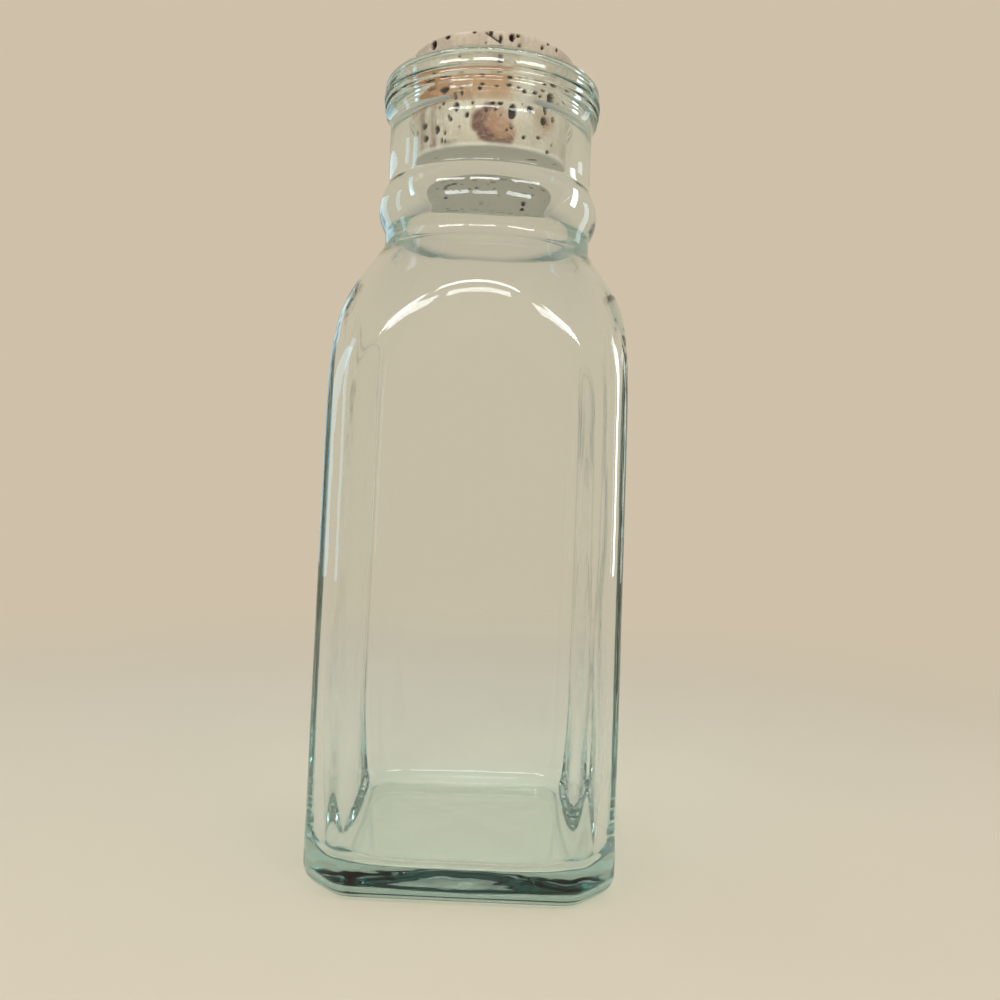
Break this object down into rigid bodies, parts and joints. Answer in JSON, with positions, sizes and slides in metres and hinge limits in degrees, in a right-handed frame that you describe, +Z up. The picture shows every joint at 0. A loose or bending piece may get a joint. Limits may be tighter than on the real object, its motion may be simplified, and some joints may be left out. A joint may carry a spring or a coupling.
{
  "type": "glass jar with cork stopper",
  "caption": "Tall square glass jar with cut corners, round-arched sides, a collared round neck, a beaded lip and a tapered cork stopper.",
  "frame": {"origin": "middle of the jar's foot, on the surface it stands on", "axes": "+Z up along the jar's axis, X and Y square to the flat sides"},
  "size_m": [0.0772, 0.0772, 0.2114],
  "materials": {
    "clear_glass": "clear moulded glass with a faint aqua tint, smooth and slightly wavy",
    "cork": "matte natural cork with dark pits, a knot and an orange-brown stain"
  },
  "bodies": {
    "root": {"glass_jar": "clear_glass", "cork": "cork"}
  },
  "joints": []
}
